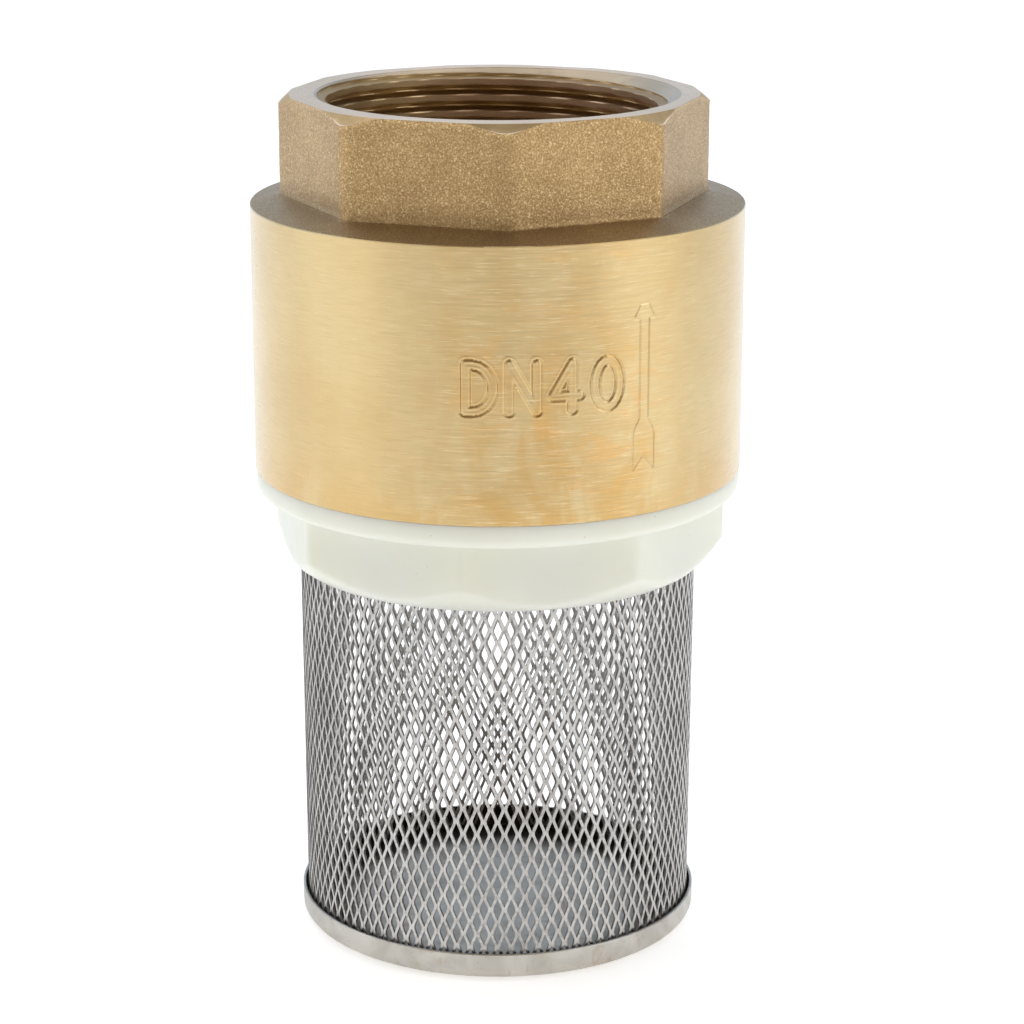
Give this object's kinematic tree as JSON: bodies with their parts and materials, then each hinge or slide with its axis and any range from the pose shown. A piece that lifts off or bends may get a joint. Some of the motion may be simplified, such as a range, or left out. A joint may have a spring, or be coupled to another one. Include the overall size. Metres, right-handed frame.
{
  "type": "foot valve",
  "caption": "Sprung foot valve: cast brass body with octagonal female end, guided poppet and seal, nylon inlet collar and expanded-metal basket strainer.",
  "frame": {"origin": "centre of the strainer base's underside, where the valve stands", "axes": "+Z along the valve's axis, in the direction of flow from the strainer to the threaded outlet; -Y through a corner of the octagonal end"},
  "size_m": [0.068, 0.068, 0.1185],
  "materials": {
    "cast_brass": "sand-cast and blasted, grainy, with a turned satin barrel",
    "turned_brass": "turned, satin",
    "nylon": "natural moulded nylon, satin",
    "acetal": "smooth moulded acetal",
    "stainless": "mill finish stainless steel",
    "rubber": "moulded nitrile rubber"
  },
  "bodies": {
    "housing": {"valve_body": "cast_brass", "guide_bush": "acetal", "inlet_collar": "nylon", "seat_ring": "turned_brass", "collar_o_ring": "rubber", "poppet_spring": "stainless", "strainer_screen": "stainless", "strainer_base": "stainless", "strainer_lock_ring": "nylon"},
    "poppet": {"valve_stem": "stainless", "poppet_plate": "turned_brass", "disc_seal": "rubber", "seal_retainer": "turned_brass", "lock_washer": "stainless", "stem_nut": "stainless"}
  },
  "joints": [
    {"name": "poppet_lift", "type": "slide", "parent": "housing", "child": "poppet", "axis": [0, 0, 1], "range_m": [0, 0.0098], "stiffness_N_per_m": 400, "springref_m": -0.0075, "deforming": ["poppet_spring"]}
  ]
}
